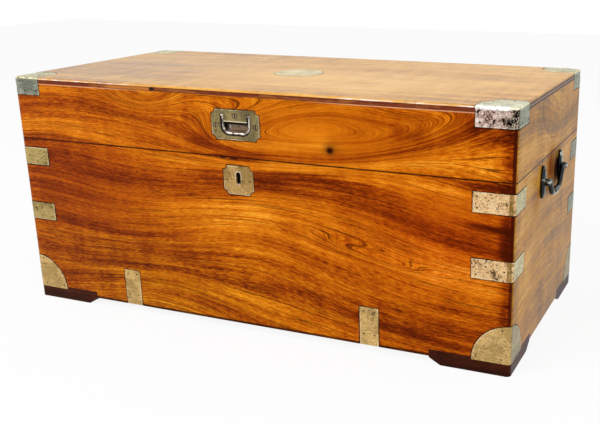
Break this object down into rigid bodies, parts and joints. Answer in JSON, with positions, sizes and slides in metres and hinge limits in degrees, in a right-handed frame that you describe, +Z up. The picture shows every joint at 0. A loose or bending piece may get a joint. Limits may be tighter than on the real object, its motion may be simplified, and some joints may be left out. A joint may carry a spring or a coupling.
{
  "type": "campaign trunk",
  "caption": "Camphor-wood campaign trunk with a lifting lid, brass let in flush at its corners, a flush bail in the lid, a lock, carrying handles and bracket feet.",
  "frame": {"origin": "on the floor, under the middle of the whole trunk's box", "axes": "+X to the right along the front, +Y towards the back, +Z up"},
  "size_m": [1.0756, 0.5132, 0.4713],
  "materials": {
    "camphor_wood": "shellac polish, worn",
    "foot_wood": "dark stained, dull",
    "brass": "aged, pitted and scratched",
    "handle_metal": "dark patina, rubbed bright on the edges",
    "steel": "dull"
  },
  "bodies": {
    "case": {"back_board": "camphor_wood", "base_strap_back_left": "brass", "base_strap_back_right": "brass", "base_strap_front_left": "brass", "base_strap_front_right": "brass", "bottom_board": "camphor_wood", "case_brass_pins": "brass", "case_screws": "steel", "corner_quarter_back_left": "brass", "corner_quarter_back_right": "brass", "corner_quarter_front_left": "brass", "corner_quarter_front_right": "brass", "corner_strap_lower_back_left": "brass", "corner_strap_lower_back_right": "brass", "corner_strap_lower_front_left": "brass", "corner_strap_lower_front_right": "brass", "corner_strap_upper_back_left": "brass", "corner_strap_upper_back_right": "brass", "corner_strap_upper_front_left": "brass", "corner_strap_upper_front_right": "brass", "escutcheon": "brass", "foot_back_left": "foot_wood", "foot_back_right": "foot_wood", "foot_front_left": "foot_wood", "foot_front_right": "foot_wood", "front_board": "camphor_wood", "handle_plate_left_back": "handle_metal", "handle_plate_left_front": "handle_metal", "handle_plate_right_back": "handle_metal", "handle_plate_right_front": "handle_metal", "hinge_case_leaf_left": "brass", "hinge_case_leaf_right": "brass", "hinge_pins": "brass", "left_end_board": "camphor_wood", "lock_cap": "brass", "lock_case": "brass", "lock_drill_pin": "steel", "lock_spring": "steel", "right_end_board": "camphor_wood"},
    "lid": {"lid_back_board": "camphor_wood", "lid_brass_pins": "brass", "lid_corner_cap_back_left": "brass", "lid_corner_cap_back_right": "brass", "lid_corner_cap_front_left": "brass", "lid_corner_cap_front_right": "brass", "lid_front_board": "camphor_wood", "lid_handle_cup": "brass", "lid_handle_plate": "brass", "lid_left_end_board": "camphor_wood", "lid_plaque": "brass", "lid_right_end_board": "camphor_wood", "lid_screws": "brass", "lid_top_board": "camphor_wood", "lock_link_plate": "brass", "hinge_lid_leaf_left": "brass", "hinge_lid_leaf_right": "brass"},
    "lid_handle": {"lid_handle_bail": "brass"},
    "left_handle": {"handle_bail_left": "handle_metal"},
    "right_handle": {"handle_bail_right": "handle_metal"},
    "lock_bolt": {"lock_bolt": "steel"}
  },
  "joints": [
    {"name": "lid_hinge", "type": "hinge", "parent": "case", "child": "lid", "pos_m": [0, 0.24655, 0.34725], "axis": [-1, 0, 0], "range_deg": [0, 100]},
    {"name": "lid_handle_pivot", "type": "hinge", "parent": "lid", "child": "lid_handle", "pos_m": [-0.006, -0.25255, 0.4235], "axis": [-1, 0, 0], "range_deg": [0, 95]},
    {"name": "left_handle_pivot", "type": "hinge", "parent": "case", "child": "left_handle", "pos_m": [-0.531, -0.00775, 0.307], "axis": [0, 1, 0], "range_deg": [-6, 175]},
    {"name": "right_handle_pivot", "type": "hinge", "parent": "case", "child": "right_handle", "pos_m": [0.531, -0.00775, 0.307], "axis": [0, -1, 0], "range_deg": [-6, 175]},
    {"name": "lock_bolt_slide", "type": "slide", "parent": "case", "child": "lock_bolt", "axis": [1, 0, 0], "range_m": [0, 0.008]}
  ]
}
